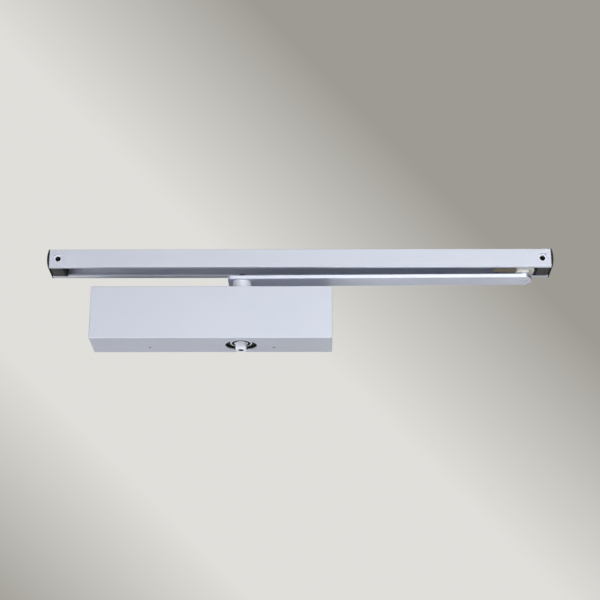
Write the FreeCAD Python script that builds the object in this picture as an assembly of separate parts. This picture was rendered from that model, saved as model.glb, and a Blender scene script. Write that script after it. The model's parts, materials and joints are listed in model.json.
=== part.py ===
import FreeCAD, Part
import math
import os

from FreeCAD import Placement, Rotation, Vector

# Slide arm door closer, in millimetres, shown with the door shut.
# X runs along the door, Y into it and Z up. The door face is Y = 0, and
# the middle of the closer's fixing holes is the origin.

# Cover
cover_length = 232.0
cover_height = 52.6
cover_depth = 43.0
cover_wall = 1.5
cover_edge_radius = 0.6
cover_standoff = 0.3
cover_window_diameter = 30.4
cover_window_chamfer = 0.4
cover_screw_spacing = 120.0
cover_screw_depth = 14.7
cover_screw_diameter = 3.0
cover_screw_length = 8.0
cover_screw_end_gap = 1.0
cover_screw_recess = 0.9
cover_screw_socket = 1.5

# Fits
running_clearance = 0.05
seating_clearance = 0.02
loose_clearance = 0.3
largest_corner_share = 0.49

# Spindle, square at both ends
spindle_x = 28.2
spindle_depth = 19.4
spindle_reach = 4.5
spindle_square = 10.0
spindle_end_chamfer = 0.8
journal_diameter = 13.0
end_thread_bore = 5.0
end_thread_depth = 14.0
end_thread_mouth = 5.6

# Pinion teeth, cut on the spindle, and the rack in the piston
gear_module = 1.25
gear_teeth = 13
pressure_angle = 25.0
gear_backlash = 0.2
root_depth = 1.25
spindle_turn = 180.0
flank_points = 4

# Oil cylinder and piston
cylinder_bore = 27.0
piston_spring_head = 10.0
piston_oil_head = 20.0
window_end_clearance = 2.0
window_side_clearance = 0.6
piston_seal_width = 3.0
piston_seal_depth = 1.6
check_passage = 3.2
check_ball_diameter = 5.5
check_pocket_diameter = 6.4
check_stop_thickness = 1.6
check_ball_play = 1.1

# Housing
housing_height = 36.0
housing_front_gap = 2.0
housing_end_gap = 8.5
housing_corner_radius = 6.0
boss_diameter = 29.0
lug_depth = 22.0
lug_gap = 0.3
lug_inset = 8.0
lug_corner_radius = 4.0
lug_overlap = 6.0
window_flange_reach = 26.0
window_flange_depth = 7.0
rear_pocket_depth = 2.0
rear_pocket_margin = 7.0
rear_pocket_rib = 6.0
rear_pocket_corner = 3.0
fixing_spacing_x = 166.0
fixing_spacing_z = 40.0
fixing_hole_diameter = 5.5
oil_channel_diameter = 2.5

# Spindle bearings, from the cylinder outwards
bush_offset = 0.4
bush_length = 4.7
pinion_passage = 0.6
cap_length = 5.4
cap_proud = 1.0
cap_step = 0.5
cap_rim = 1.2
seal_length = 1.8

# Cylinder plugs
plug_step = 1.0
left_plug_length = 12.0
oil_gap = 6.0
plug_socket = 12.0
plug_socket_depth = 7.0
spanner_hole_diameter = 4.0
spanner_hole_spacing = 19.0
spanner_hole_depth = 5.0
o_ring_section = 1.5
o_ring_groove_share = 0.7
o_ring_groove_room = 1.2

# Closing spring and its adjuster
spring_wire = 4.2
spring_mean_diameter = 20.5
spring_turns = 9.5
seat_thickness = 6.0
seat_spigot_diameter = 14.0
seat_spigot_length = 4.0
seat_gap = 7.0
adjuster_diameter = 8.0
adjuster_collar_diameter = 14.0
adjuster_collar_length = 3.0
adjuster_travel = 10.0
adjuster_tip = 4.0
adjuster_socket = 5.0
adjuster_socket_depth = 6.0

# Closing speed valves
valve_diameter = 5.0
valve_length = 20.0
valve_offset = 13.6
valve_recess = 2.0
valve_taper_length = 6.0
valve_tip_diameter = 1.6
valve_slot_width = 1.0
valve_slot_depth = 1.5

# Arm
arm_gap = 12.4
arm_width = 21.2
arm_thickness = 3.6
arm_reach = 274.5
arm_hub_overhang = 13.5
arm_pin_overhang = 7.6
arm_hub_corner_radius = 3.2
arm_end_bow = 5.0
arm_edge_chamfer = 0.25
hub_diameter = 18.2
hub_float = 0.6
hub_chamfer = 0.6
hub_key = 11.0
hub_socket_relief = 0.4
arm_screw_diameter = 6.0
arm_screw_engagement = 10.0
arm_screw_head_diameter = 10.5
arm_screw_head_height = 3.3
arm_screw_crown_share = 0.6
arm_screw_socket = 4.0
arm_screw_socket_depth = 2.0
arm_washer_diameter = 14.0
arm_washer_thickness = 1.0

# Slide pin
pin_diameter = 8.0
pin_rivet_diameter = 8.4
pin_collar_diameter = 11.0
pin_collar_float = 0.2
pin_spanner_hole_diameter = 2.0
pin_spanner_hole_spacing = 4.8
pin_spanner_hole_depth = 1.8
pin_head_length = 2.4
pin_groove_depth = 0.9
clip_thickness = 0.8
clip_diameter = 13.0

# Slide block and its tail
block_length = 17.9
block_lead = 10.5
block_neck_inset = 0.5
block_flange_height = 9.0
block_flange_radius = 4.0
block_neck_radius = 6.5
block_edge_radius = 0.6
foot_height = 3.3
foot_width = 12.0
foot_top_lead = 5.0
foot_top_tail = 5.8
foot_flare = 0.8
foot_tail_flare = 2.8
foot_corner_radius = 2.0
tail_reach = 29.2
tail_step_reach = 14.7
tail_width = 8.0
tail_step_width = 9.6
tail_height = 4.0
tail_rise = 1.1
tail_tongue_width = 6.0
tail_tongue_length = 2.4

# Rail
rail_clearance = 1.6
rail_offset = 3.9
rail_length = 487.3
rail_lead = 25.7
rail_height = 18.8
rail_depth = 29.5
rail_wall = 2.0
rail_edge_radius = 0.5
slot_width = 20.6
slot_front_lip = 3.4
slot_edge_radius = 0.7
rail_cap_thickness = 2.4
rail_cap_rim = 1.0
rail_cap_edge_radius = 0.3
rail_cap_plug = 1.0
fixing_block_length = 11.4
foot_groove_count = 4
foot_groove_width = 0.8
foot_groove_depth = 0.5
foot_groove_spacing = 3.6
buffer_thickness = 2.4
rail_screw_inset = 8.0
rail_screw_rise = 0.4
rail_screw_diameter = 5.6
rail_sleeve_diameter = 8.3
rail_sleeve_length = 1.6
rail_sleeve_recess = 2.0

# Places worked out from the sizes above
origin = Vector(0, 0, 0)
right = Vector(1, 0, 0)
left = Vector(-1, 0, 0)
inward = Vector(0, 1, 0)
up = Vector(0, 0, 1)
down = Vector(0, 0, -1)

cover_half = cover_length / 2
cover_top = cover_height / 2
cover_inner_top = cover_top - cover_wall
spindle_y = -spindle_depth
spindle_end = cover_top + spindle_reach

pitch_radius = gear_module * gear_teeth / 2
tip_radius = pitch_radius + gear_module
root_radius = pitch_radius - root_depth * gear_module
base_radius = pitch_radius * math.cos(math.radians(pressure_angle))
rack_pitch = math.pi * gear_module
piston_travel = pitch_radius * math.radians(spindle_turn)

bush_radius = tip_radius + pinion_passage
bush_inner = cylinder_bore / 2 + bush_offset
bush_outer = bush_inner + bush_length
cap_radius = bush_radius + cap_step
cap_outer = bush_outer + cap_length
boss_top = cap_outer - cap_proud
pinion_top = bush_inner - loose_clearance

piston_radius = cylinder_bore / 2 - running_clearance
window_left = spindle_x - tip_radius - window_end_clearance
window_right = spindle_x + piston_travel + tip_radius + window_end_clearance
piston_left = window_left - piston_spring_head
piston_right = window_right + piston_oil_head

housing_half = cover_half - cover_wall - housing_end_gap
housing_front = -(cover_depth - cover_wall - housing_front_gap)
lug_top = cover_inner_top - lug_gap
plug_radius = cylinder_bore / 2 + plug_step
left_plug_inner = -housing_half + left_plug_length
right_plug_inner = piston_right + oil_gap

seat_left = left_plug_inner + adjuster_collar_length + seat_gap
seat_right = seat_left + seat_thickness
adjuster_end = seat_right + adjuster_travel + adjuster_tip

arm_bottom = cover_top + arm_gap
arm_top = arm_bottom + arm_thickness
hub_bottom = cap_outer + hub_float
arm_turn = -math.degrees(math.asin(rail_offset / arm_reach))
pin_x = spindle_x + arm_reach * math.cos(math.radians(arm_turn))
pin_y = spindle_y - rail_offset

rail_bottom = arm_top + arm_washer_thickness + arm_screw_head_height + rail_clearance
rail_top = rail_bottom + rail_height
rail_right = pin_x + rail_lead
rail_left = rail_right - rail_length
rail_front = pin_y - slot_width / 2 - slot_front_lip
rail_rear = rail_front + rail_depth
rail_screw_z = (rail_bottom + rail_top) / 2 + rail_screw_rise

block_neck_bottom = rail_bottom + block_neck_inset
foot_bottom = block_neck_bottom - foot_height
block_flange_bottom = rail_bottom + rail_wall + loose_clearance
block_flange_top = block_flange_bottom + block_flange_height
block_right = pin_x + block_lead
block_left = block_right - block_length


def box(x0, x1, y0, y1, z0, z1):
    return Part.makeBox(x1 - x0, y1 - y0, z1 - z0, Vector(x0, y0, z0))


def rod(radius, length, base, axis):
    return Part.makeCylinder(radius, length, base, axis)


def fillet_along(solid, axis, radius, keep=lambda point: True):
    edges = [edge for edge in solid.Edges if is_along(edge, axis) and keep(edge.CenterOfMass)]
    return solid.makeFillet(radius, edges)


def is_along(edge, axis):
    return edge.Curve.TypeId == "Part::GeomLine" and abs(abs(edge.Curve.Direction.dot(axis)) - 1) < 1e-6


def plate(x0, x1, y0, y1, z0, z1, radius):
    """A block with its four upright edges rounded, at most to just under half its narrower side."""
    largest = largest_corner_share * min(x1 - x0, y1 - y0)
    return fillet_along(box(x0, x1, y0, y1, z0, z1), up, min(radius, largest))


def turned(profile, base, axis):
    """A solid turned from a half profile of (radius, distance along the axis) points."""
    points = [Vector(radius, 0, distance) for radius, distance in profile]
    solid = Part.Face(Part.makePolygon(points + points[:1])).revolve(origin, up, 360)
    solid.Placement = Placement(base, Rotation(up, axis))
    return solid


def hexagon(flats, length, base, axis):
    corner = flats / math.sqrt(3)
    points = [Vector(corner, 0, 0)]
    for step in range(1, 7):
        points.append(Rotation(up, 60 * step).multVec(points[0]))
    solid = Part.Face(Part.makePolygon(points)).extrude(Vector(0, 0, length))
    solid.Placement = Placement(base, Rotation(up, axis))
    return solid


def polar(radius, angle):
    return Vector(radius * math.cos(angle), radius * math.sin(angle), 0)


def cover():
    rear = -cover_standoff
    solid = box(-cover_half, cover_half, -cover_depth, rear, -cover_top, cover_top)
    edges = [edge for edge in solid.Edges if edge.CenterOfMass.y < rear]
    solid = solid.makeFillet(cover_edge_radius, edges)
    inner_half = cover_half - cover_wall
    inside = box(-inner_half, inner_half, cover_wall - cover_depth, 0, -cover_inner_top, cover_inner_top)
    solid = solid.cut(inside)
    window = cover_window_diameter / 2
    window_edge = window + cover_window_chamfer
    profile = [(0, 0), (window_edge, 0), (window, cover_window_chamfer)]
    profile += [(window, cover_top), (0, cover_top)]
    for axis in (up, down):
        solid = solid.cut(turned(profile, Vector(spindle_x, spindle_y, axis.z * cover_top), axis * -1))
    for x in cover_screw_places():
        base = Vector(x, -cover_screw_depth, -cover_height)
        solid = solid.cut(rod(cover_screw_diameter / 2 + running_clearance, cover_height, base, up))
    return solid


def cover_screw_places():
    return (-cover_screw_spacing / 2, cover_screw_spacing / 2)


def cover_screws():
    screws = []
    for x in cover_screw_places():
        base = Vector(x, -cover_screw_depth, -cover_top + cover_screw_recess)
        screw = rod(cover_screw_diameter / 2, cover_screw_length, base, up)
        screws.append(screw.cut(hexagon(cover_screw_socket, cover_screw_diameter, base, up)))
    return Part.makeCompound(screws)


def valve_places():
    return {"sweep_valve": valve_offset, "latch_valve": -valve_offset}


def housing():
    solid = box(-housing_half, housing_half, housing_front, 0, -housing_height / 2, housing_height / 2)
    solid = fillet_along(solid, right, housing_corner_radius, lambda point: point.y < -1)
    boss_base = Vector(spindle_x, spindle_y, -boss_top)
    solid = solid.fuse(rod(boss_diameter / 2, 2 * boss_top, boss_base, up))
    for side in (-1, 1):
        solid = solid.fuse(lug_pair(side))
    solid = solid.fuse(window_flange()).removeSplitter()
    for hole in cylinder_cuts() + spindle_cuts() + fixing_cuts() + valve_cuts() + rear_pockets():
        solid = solid.cut(hole)
    return solid


def lug_pair(side):
    """The lugs above and below the cylinder at one end, up to the cover's inner wall."""
    near = cover_screw_spacing / 2 - lug_inset
    far = fixing_spacing_x / 2 + lug_inset
    x0, x1 = sorted((side * near, side * far))
    z0 = housing_height / 2 - lug_overlap
    upper = box(x0, x1, -lug_depth, 0, z0, lug_top)
    upper = fillet_along(upper, up, lug_corner_radius, lambda point: point.y < -1)
    return upper.fuse(upper.mirror(origin, up))


def window_flange():
    """A wall against the door, behind both windows of the cover."""
    x0 = spindle_x - window_flange_reach
    x1 = spindle_x + window_flange_reach
    wall = box(x0, x1, -window_flange_depth, 0, -lug_top, lug_top)
    return fillet_along(wall, up, lug_corner_radius, lambda point: point.y < -1)


def rear_pockets():
    """Shallow pockets in the face against the door, with ribs and pads left between them."""
    half = housing_height / 2 - rear_pocket_margin
    far = housing_half - rear_pocket_margin
    flange_left = spindle_x - window_flange_reach - rear_pocket_margin
    flange_right = spindle_x + window_flange_reach + rear_pocket_margin
    rib_left = (flange_left - far - rear_pocket_rib) / 2
    rib_right = rib_left + rear_pocket_rib
    spans = [(-far, rib_left), (rib_right, flange_left), (flange_right, far)]
    pockets = [box(x0, x1, -rear_pocket_depth, 0, -half, half) for x0, x1 in spans]
    return [fillet_along(pocket, inward, rear_pocket_corner) for pocket in pockets]


def cylinder_cuts():
    start = Vector(-housing_half, spindle_y, 0)
    bore = rod(cylinder_bore / 2, 2 * housing_half, start, right)
    left_plug_hole = rod(plug_radius + seating_clearance, left_plug_length, start, right)
    right_start = Vector(right_plug_inner, spindle_y, 0)
    right_length = housing_half - right_plug_inner
    right_plug_hole = rod(plug_radius + seating_clearance, right_length, right_start, right)
    return [bore, left_plug_hole, right_plug_hole]


def spindle_cuts():
    base = Vector(spindle_x, spindle_y, -boss_top)
    cuts = [rod(bush_radius + seating_clearance, 2 * boss_top, base, up)]
    for axis in (up, down):
        base = Vector(spindle_x, spindle_y, axis.z * bush_outer)
        cuts.append(rod(cap_radius + seating_clearance, cap_length, base, axis))
    return cuts


def fixing_cuts():
    cuts = []
    for x in (-fixing_spacing_x / 2, fixing_spacing_x / 2):
        for z in (-fixing_spacing_z / 2, fixing_spacing_z / 2):
            cuts.append(rod(fixing_hole_diameter / 2, cover_depth, Vector(x, -cover_depth, z), inward))
    for x in cover_screw_places():
        base = Vector(x, -cover_screw_depth, -cover_top)
        depth = cover_screw_recess + cover_screw_length + cover_screw_end_gap
        cuts.append(rod(cover_screw_diameter / 2 + seating_clearance, depth, base, up))
    return cuts


def valve_cuts():
    """The valve holes in the right end, each with its channel and two ports to the cylinder."""
    cuts = []
    needle_x = housing_half - valve_recess - valve_length
    for z in valve_places().values():
        centre = Vector(0, spindle_y - valve_offset, z)
        mouth = centre + right * housing_half
        valve_hole = rod(valve_diameter / 2 + running_clearance, housing_half - needle_x, mouth, left)
        channel = rod(oil_channel_diameter / 2, needle_x - seat_right, centre + right * needle_x, left)
        cuts += [valve_hole, channel]
        towards_bore = Vector(0, valve_offset, -z)
        for port_x in (seat_right + oil_channel_diameter, right_plug_inner - oil_gap / 2):
            port_base = centre + right * port_x
            cuts.append(rod(oil_channel_diameter / 2, towards_bore.Length, port_base, towards_bore))
    return cuts


def valve(z):
    """A needle screw with a slotted head at its outer end."""
    body = valve_diameter / 2
    tip = valve_tip_diameter / 2
    shoulder = valve_length - valve_taper_length
    profile = [(0, 0), (body, 0), (body, shoulder), (tip, valve_length), (0, valve_length)]
    head = Vector(housing_half - valve_recess, spindle_y - valve_offset, z)
    solid = turned(profile, head, left)
    half = valve_slot_width / 2
    slot = box(head.x - valve_slot_depth, head.x, head.y - body, head.y + body, z - half, z + half)
    return solid.cut(slot)


def bush(axis):
    base = Vector(spindle_x, spindle_y, axis.z * bush_inner)
    hole = rod(journal_diameter / 2 + running_clearance, bush_length, base, axis)
    return rod(bush_radius, bush_length, base, axis).cut(hole)


def bearing_cap(axis):
    """A ring that closes the boss, with a recess for the seal on its outer side."""
    hole = journal_diameter / 2 + loose_clearance
    recess = cap_radius - cap_rim
    floor = cap_length - seal_length
    chamfer = cap_rim / 3
    profile = [(hole, 0), (cap_radius, 0), (cap_radius, cap_length - chamfer)]
    profile += [(cap_radius - chamfer, cap_length), (recess, cap_length), (recess, floor), (hole, floor)]
    return turned(profile, Vector(spindle_x, spindle_y, axis.z * bush_outer), axis)


def shaft_seal(axis):
    """A lip seal whose face falls away from the spindle towards its rim."""
    outer = cap_radius - cap_rim - seating_clearance
    lip = journal_diameter / 2 + running_clearance
    middle = (outer + lip) / 2
    dip = seal_length / 2
    profile = [(lip, 0), (outer, 0), (outer, seal_length), (middle, dip), (lip, seal_length)]
    base = Vector(spindle_x, spindle_y, axis.z * (cap_outer - seal_length))
    return turned(profile, base, axis)


def plug_groove(length):
    """Where the sealing ring's groove lies along a plug, from its outer face."""
    middle = length * o_ring_groove_share
    half = o_ring_section * o_ring_groove_room / 2
    return middle - half, middle + half


def plug_profile(length):
    start, end = plug_groove(length)
    floor = plug_radius - o_ring_section
    profile = [(0, 0), (plug_radius, 0), (plug_radius, start), (floor, start), (floor, end)]
    return profile + [(plug_radius, end), (plug_radius, length), (0, length)]


def left_plug():
    """The plug at the spring end, with spanner holes and the adjuster's bearing."""
    base = Vector(-housing_half, spindle_y, 0)
    solid = turned(plug_profile(left_plug_length), base, right)
    solid = solid.cut(rod(adjuster_diameter / 2 + running_clearance, left_plug_length, base, right))
    for side in (-1, 1):
        hole_base = base + up * (side * spanner_hole_spacing / 2)
        solid = solid.cut(rod(spanner_hole_diameter / 2, spanner_hole_depth, hole_base, right))
    return solid


def right_plug():
    base = Vector(housing_half, spindle_y, 0)
    solid = turned(plug_profile(housing_half - right_plug_inner), base, left)
    return solid.cut(hexagon(plug_socket, plug_socket_depth, base, left))


def plug_o_rings():
    rings = []
    section = o_ring_section / 2 - seating_clearance
    for side, length in ((-1, left_plug_length), (1, housing_half - right_plug_inner)):
        middle = sum(plug_groove(length)) / 2
        base = Vector(side * (housing_half - middle), spindle_y, 0)
        rings.append(Part.makeTorus(plug_radius - o_ring_section / 2, section, base, right))
    return Part.makeCompound(rings)


def half_tooth_angle(radius):
    """Half the angle that a pinion tooth covers at a radius, by the involute rule."""
    def involute(at):
        return math.tan(at) - at
    pitch_thickness = rack_pitch / 2 - gear_backlash
    at_pitch = involute(math.radians(pressure_angle))
    return pitch_thickness / (2 * pitch_radius) + at_pitch - involute(math.acos(base_radius / radius))


def flank(radii, tooth, side):
    curve = Part.BSplineCurve()
    curve.interpolate([polar(radius, tooth + side * half_tooth_angle(radius)) for radius in radii])
    return curve.toShape()


def pinion_outline():
    step = (tip_radius - base_radius) / flank_points
    radii = [base_radius + step * count for count in range(flank_points + 1)]
    root_half = half_tooth_angle(base_radius)
    tooth_step = 2 * math.pi / gear_teeth
    edges = []
    for count in range(gear_teeth):
        tooth = math.pi / 2 + count * tooth_step
        rise = flank(radii, tooth, -1)
        fall = flank(radii, tooth, 1)
        edges.append(Part.makeLine(polar(root_radius, tooth - root_half), rise.Vertexes[0].Point))
        edges.append(rise)
        tip = (rise.Vertexes[-1].Point, polar(tip_radius, tooth), fall.Vertexes[-1].Point)
        edges.append(Part.Arc(*tip).toShape())
        edges.append(fall)
        foot = polar(root_radius, tooth + root_half)
        edges.append(Part.makeLine(fall.Vertexes[0].Point, foot))
        valley = polar(root_radius, tooth + tooth_step / 2)
        next_foot = polar(root_radius, tooth + tooth_step - root_half)
        edges.append(Part.Arc(foot, valley, next_foot).toShape())
    return Part.Wire(Part.__sortEdges__(edges))


def pinion_shaft():
    """The spindle: teeth in the middle, round journals, and a square with a threaded hole at each end."""
    axis_base = Vector(spindle_x, spindle_y, 0)
    teeth = Part.Face(pinion_outline()).extrude(Vector(0, 0, 2 * pinion_top))
    teeth.translate(axis_base + down * pinion_top)
    solid = teeth
    shank = journal_diameter / 2
    cone = shank - spindle_end_chamfer
    end_profile = [(0, 0), (shank, 0), (shank, spindle_end - spindle_end_chamfer)]
    end_profile += [(cone, spindle_end), (0, spindle_end)]
    for axis in (up, down):
        round_end = turned(end_profile, axis_base, axis)
        z0, z1 = sorted((axis.z * cap_outer, axis.z * spindle_end))
        sleeve = rod(journal_diameter, spindle_end - cap_outer, axis_base + axis * cap_outer, axis)
        square = along_arm(key_block(spindle_square / 2, z0, z1))
        solid = solid.fuse(round_end.cut(sleeve.cut(square)))
    solid = solid.removeSplitter()
    mouth_depth = (end_thread_mouth - end_thread_bore) / 2
    bore = end_thread_bore / 2
    profile = [(0, 0), (end_thread_mouth / 2, 0), (bore, mouth_depth), (bore, end_thread_depth)]
    profile.append((0, end_thread_depth + bore / 2))
    for axis in (up, down):
        solid = solid.cut(turned(profile, axis_base + axis * spindle_end, axis * -1))
    return solid


def rack_gap(x):
    """The space between two rack teeth, cut upright through the piston."""
    slope = math.tan(math.radians(pressure_angle))
    corners = []
    for height in (-gear_module, root_depth * gear_module):
        half = rack_pitch / 4 - height * slope
        corners.append((half, spindle_y + pitch_radius + height))
    (wide, tip_y), (narrow, root_y) = corners
    outline = [(x - wide, tip_y), (x + wide, tip_y), (x + narrow, root_y), (x - narrow, root_y)]
    points = [Vector(px, py, -cylinder_bore / 2) for px, py in outline]
    return Part.Face(Part.makePolygon(points + points[:1])).extrude(Vector(0, 0, cylinder_bore))


def piston():
    """A round piston with a window for the pinion, whose rear wall is the rack."""
    axis_start = Vector(piston_left, spindle_y, 0)
    solid = rod(piston_radius, piston_right - piston_left, axis_start, right)
    front = spindle_y - tip_radius - window_side_clearance
    rack_tips = spindle_y + pitch_radius - gear_module
    solid = solid.cut(box(window_left, window_right, front, rack_tips, -cylinder_bore, cylinder_bore))
    first = math.ceil((window_left - spindle_x) / rack_pitch + 0.5)
    last = math.floor((window_right - spindle_x) / rack_pitch - 0.5)
    for count in range(first, last + 1):
        solid = solid.cut(rack_gap(spindle_x + count * rack_pitch))
    solid = solid.cut(piston_groove())
    passage_start = Vector(window_right, spindle_y, 0)
    solid = solid.cut(rod(check_passage / 2, piston_oil_head, passage_start, right))
    pocket_start = Vector(check_shoulder(), spindle_y, 0)
    pocket_length = piston_right - check_shoulder()
    return solid.cut(rod(check_pocket_diameter / 2, pocket_length, pocket_start, right))


def check_shoulder():
    """The step in the piston on which the check ball sits."""
    return piston_right - 2 * check_stop_thickness - check_ball_diameter - check_ball_play


def seal_place():
    return window_right + piston_oil_head / 2


def piston_groove():
    floor = piston_radius - piston_seal_depth
    base = Vector(seal_place(), spindle_y, 0)
    outer = rod(cylinder_bore, piston_seal_width, base, right)
    return outer.cut(rod(floor, piston_seal_width, base, right))


def piston_seal():
    width = piston_seal_width - 2 * seating_clearance
    base = Vector(seal_place() + seating_clearance, spindle_y, 0)
    outer = rod(piston_radius, width, base, right)
    return outer.cut(rod(piston_radius - piston_seal_depth + seating_clearance, width, base, right))


def check_ball():
    radius = check_ball_diameter / 2
    rise = math.sqrt(radius ** 2 - (check_passage / 2) ** 2)
    return Part.makeSphere(radius, Vector(check_shoulder() + rise + seating_clearance, spindle_y, 0))


def check_ball_stop():
    """A ring pressed into the mouth of the pocket."""
    base = Vector(piston_right - check_stop_thickness, spindle_y, 0)
    ring = rod(check_pocket_diameter / 2 - seating_clearance, check_stop_thickness, base, right)
    return ring.cut(rod(check_passage / 2, check_stop_thickness, base, right))


def spring_adjuster():
    """A screw held by a collar behind the left plug, with a socket in its outer end."""
    screw = adjuster_diameter / 2
    collar = adjuster_collar_diameter / 2
    collar_start = left_plug_length + running_clearance
    collar_end = collar_start + adjuster_collar_length
    end = housing_half + adjuster_end
    profile = [(0, 0), (screw, 0), (screw, collar_start), (collar, collar_start), (collar, collar_end)]
    profile += [(screw, collar_end), (screw, end), (0, end)]
    base = Vector(-housing_half, spindle_y, 0)
    solid = turned(profile, base, right)
    return solid.cut(hexagon(adjuster_socket, adjuster_socket_depth, base, right))


def spring_seat():
    """A nut plate on the adjuster, with a spigot inside the spring."""
    plate_radius = cylinder_bore / 2 - running_clearance
    hole = adjuster_diameter / 2 + running_clearance
    spigot = seat_spigot_diameter / 2
    end = seat_thickness + seat_spigot_length
    profile = [(hole, 0), (plate_radius, 0), (plate_radius, seat_thickness)]
    profile += [(spigot, seat_thickness), (spigot, end), (hole, end)]
    return turned(profile, Vector(seat_left, spindle_y, 0), right)


def closing_spring():
    """A coil with its ends ground flat against the seat and the piston."""
    length = piston_left - seat_right
    pitch = length / spring_turns
    mean_radius = spring_mean_diameter / 2
    coil = Part.Wire(Part.makeHelix(pitch, length, mean_radius).Edges)
    start = coil.OrderedVertexes[0].Point
    section = Part.Wire(Part.makeCircle(spring_wire / 2, start, coil.OrderedEdges[0].tangentAt(0)))
    solid = coil.makePipeShell([section], True, True)
    solid.Placement = Placement(Vector(seat_right, spindle_y, 0), Rotation(up, right))
    between = rod(cylinder_bore / 2, length, Vector(seat_right, spindle_y, 0), right)
    return solid.common(between)


def arm_bar():
    """A flat bar with small chamfers, keyed on the hub and with a bowed end at the pin."""
    half = arm_width / 2
    x0 = spindle_x - arm_hub_overhang
    x1 = spindle_x + arm_reach + arm_pin_overhang
    solid = box(x0, x1, spindle_y - half, spindle_y + half, arm_bottom, arm_top)
    solid = fillet_along(solid, up, arm_hub_corner_radius, lambda point: point.x < spindle_x)
    bow_radius = (half ** 2 + arm_end_bow ** 2) / (2 * arm_end_bow)
    bow_base = Vector(x1 - bow_radius, spindle_y, arm_bottom)
    corners = box(x1 - arm_end_bow, x1, spindle_y - half, spindle_y + half, arm_bottom, arm_top)
    solid = solid.cut(corners.cut(rod(bow_radius, arm_thickness, bow_base, up)))
    faces = [face for face in solid.Faces if abs(face.normalAt(0, 0).z) > 0.99]
    rims = [edge for face in faces for edge in face.Edges]
    solid = solid.makeChamfer(arm_edge_chamfer, rims)
    solid = solid.cut(key_block(hub_key / 2 + seating_clearance, arm_bottom, arm_top))
    rivet_base = Vector(spindle_x + arm_reach, spindle_y, arm_bottom)
    solid = solid.cut(rod(pin_rivet_diameter / 2 + seating_clearance, arm_thickness, rivet_base, up))
    return along_arm(solid)


def along_arm(solid):
    """Turns a piece that lies along X round the spindle, into line with the arm."""
    return solid.rotated(Vector(spindle_x, spindle_y, 0), up, arm_turn)


def key_block(half, z0, z1):
    return box(spindle_x - half, spindle_x + half, spindle_y - half, spindle_y + half, z0, z1)


def arm_hub():
    """A boss under the arm with a square socket for the spindle and a square key in the arm."""
    base = Vector(spindle_x, spindle_y, hub_bottom)
    radius = hub_diameter / 2
    height = arm_bottom - hub_bottom
    profile = [(0, 0), (radius - hub_chamfer, 0), (radius, hub_chamfer), (radius, height), (0, height)]
    solid = turned(profile, base, up).fuse(key_block(hub_key / 2, arm_bottom, arm_top))
    socket_half = spindle_square / 2 + running_clearance
    solid = solid.cut(key_block(socket_half, hub_bottom, spindle_end + hub_socket_relief))
    solid = solid.cut(rod(arm_screw_diameter / 2 + loose_clearance, arm_top - hub_bottom, base, up))
    return along_arm(solid)


def arm_washer():
    base = Vector(spindle_x, spindle_y, arm_top)
    hole = rod(arm_screw_diameter / 2 + loose_clearance, arm_washer_thickness, base, up)
    return rod(arm_washer_diameter / 2, arm_washer_thickness, base, up).cut(hole)


def arm_screw():
    """A low round-headed screw down through the arm into the spindle."""
    head_bottom = arm_top + arm_washer_thickness
    head_top = head_bottom + arm_screw_head_height
    head = arm_screw_head_diameter / 2
    shank = arm_screw_diameter / 2
    core = end_thread_bore / 2 - seating_clearance
    step = hub_socket_relief
    thread_start = spindle_end + step
    tip = spindle_end - arm_screw_engagement
    profile = [(0, tip), (core, tip), (core, thread_start), (shank, thread_start), (shank, head_bottom)]
    profile += [(head, head_bottom), (head, head_bottom + arm_screw_head_height / 3)]
    profile += [(head * arm_screw_crown_share, head_top), (0, head_top)]
    axis_base = Vector(spindle_x, spindle_y, 0)
    solid = turned(profile, axis_base, up)
    return solid.cut(hexagon(arm_screw_socket, arm_screw_socket_depth, axis_base + up * head_top, down))


def slide_pin():
    """A pin fixed in the arm, with two spanner holes, a collar and a groove for its clip."""
    rivet = pin_rivet_diameter / 2
    collar = pin_collar_diameter / 2
    pin = pin_diameter / 2
    collar_top = foot_bottom - pin_collar_float
    groove = pin - pin_groove_depth
    groove_start = block_flange_top + running_clearance
    groove_end = groove_start + clip_thickness + 2 * running_clearance
    end = block_flange_top + pin_head_length
    profile = [(0, arm_bottom), (rivet, arm_bottom), (rivet, arm_top), (collar, arm_top)]
    profile += [(collar, collar_top), (pin, collar_top), (pin, groove_start), (groove, groove_start)]
    profile += [(groove, groove_end), (pin, groove_end), (pin, end), (0, end)]
    solid = turned(profile, Vector(pin_x, pin_y, 0), up)
    for side in (-1, 1):
        hole_base = Vector(pin_x + side * pin_spanner_hole_spacing / 2, pin_y, arm_bottom)
        solid = solid.cut(rod(pin_spanner_hole_diameter / 2, pin_spanner_hole_depth, hole_base, up))
    return solid


def pin_clip():
    """An open spring clip in the pin's groove."""
    base = Vector(pin_x, pin_y, block_flange_top + 2 * running_clearance)
    inner = pin_diameter / 2 - pin_groove_depth + seating_clearance
    ring = rod(clip_diameter / 2, clip_thickness, base, up).cut(rod(inner, clip_thickness, base, up))
    mouth_y = (base.y - inner, base.y + inner)
    return ring.cut(box(base.x - clip_diameter, base.x, *mouth_y, base.z, base.z + clip_thickness))


def tail_tongue(clearance):
    """The tongue that joins the tail to the slide block, or the pocket for it."""
    half = tail_tongue_width / 2 + clearance
    z0 = tail_bottom() + tail_rise - clearance
    z1 = tail_bottom() + tail_height + clearance
    x1 = block_left + tail_tongue_length + clearance
    return box(block_left - tail_tongue_length, x1, pin_y - half, pin_y + half, z0, z1)


def tail_bottom():
    return block_neck_bottom + tail_rise


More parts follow.
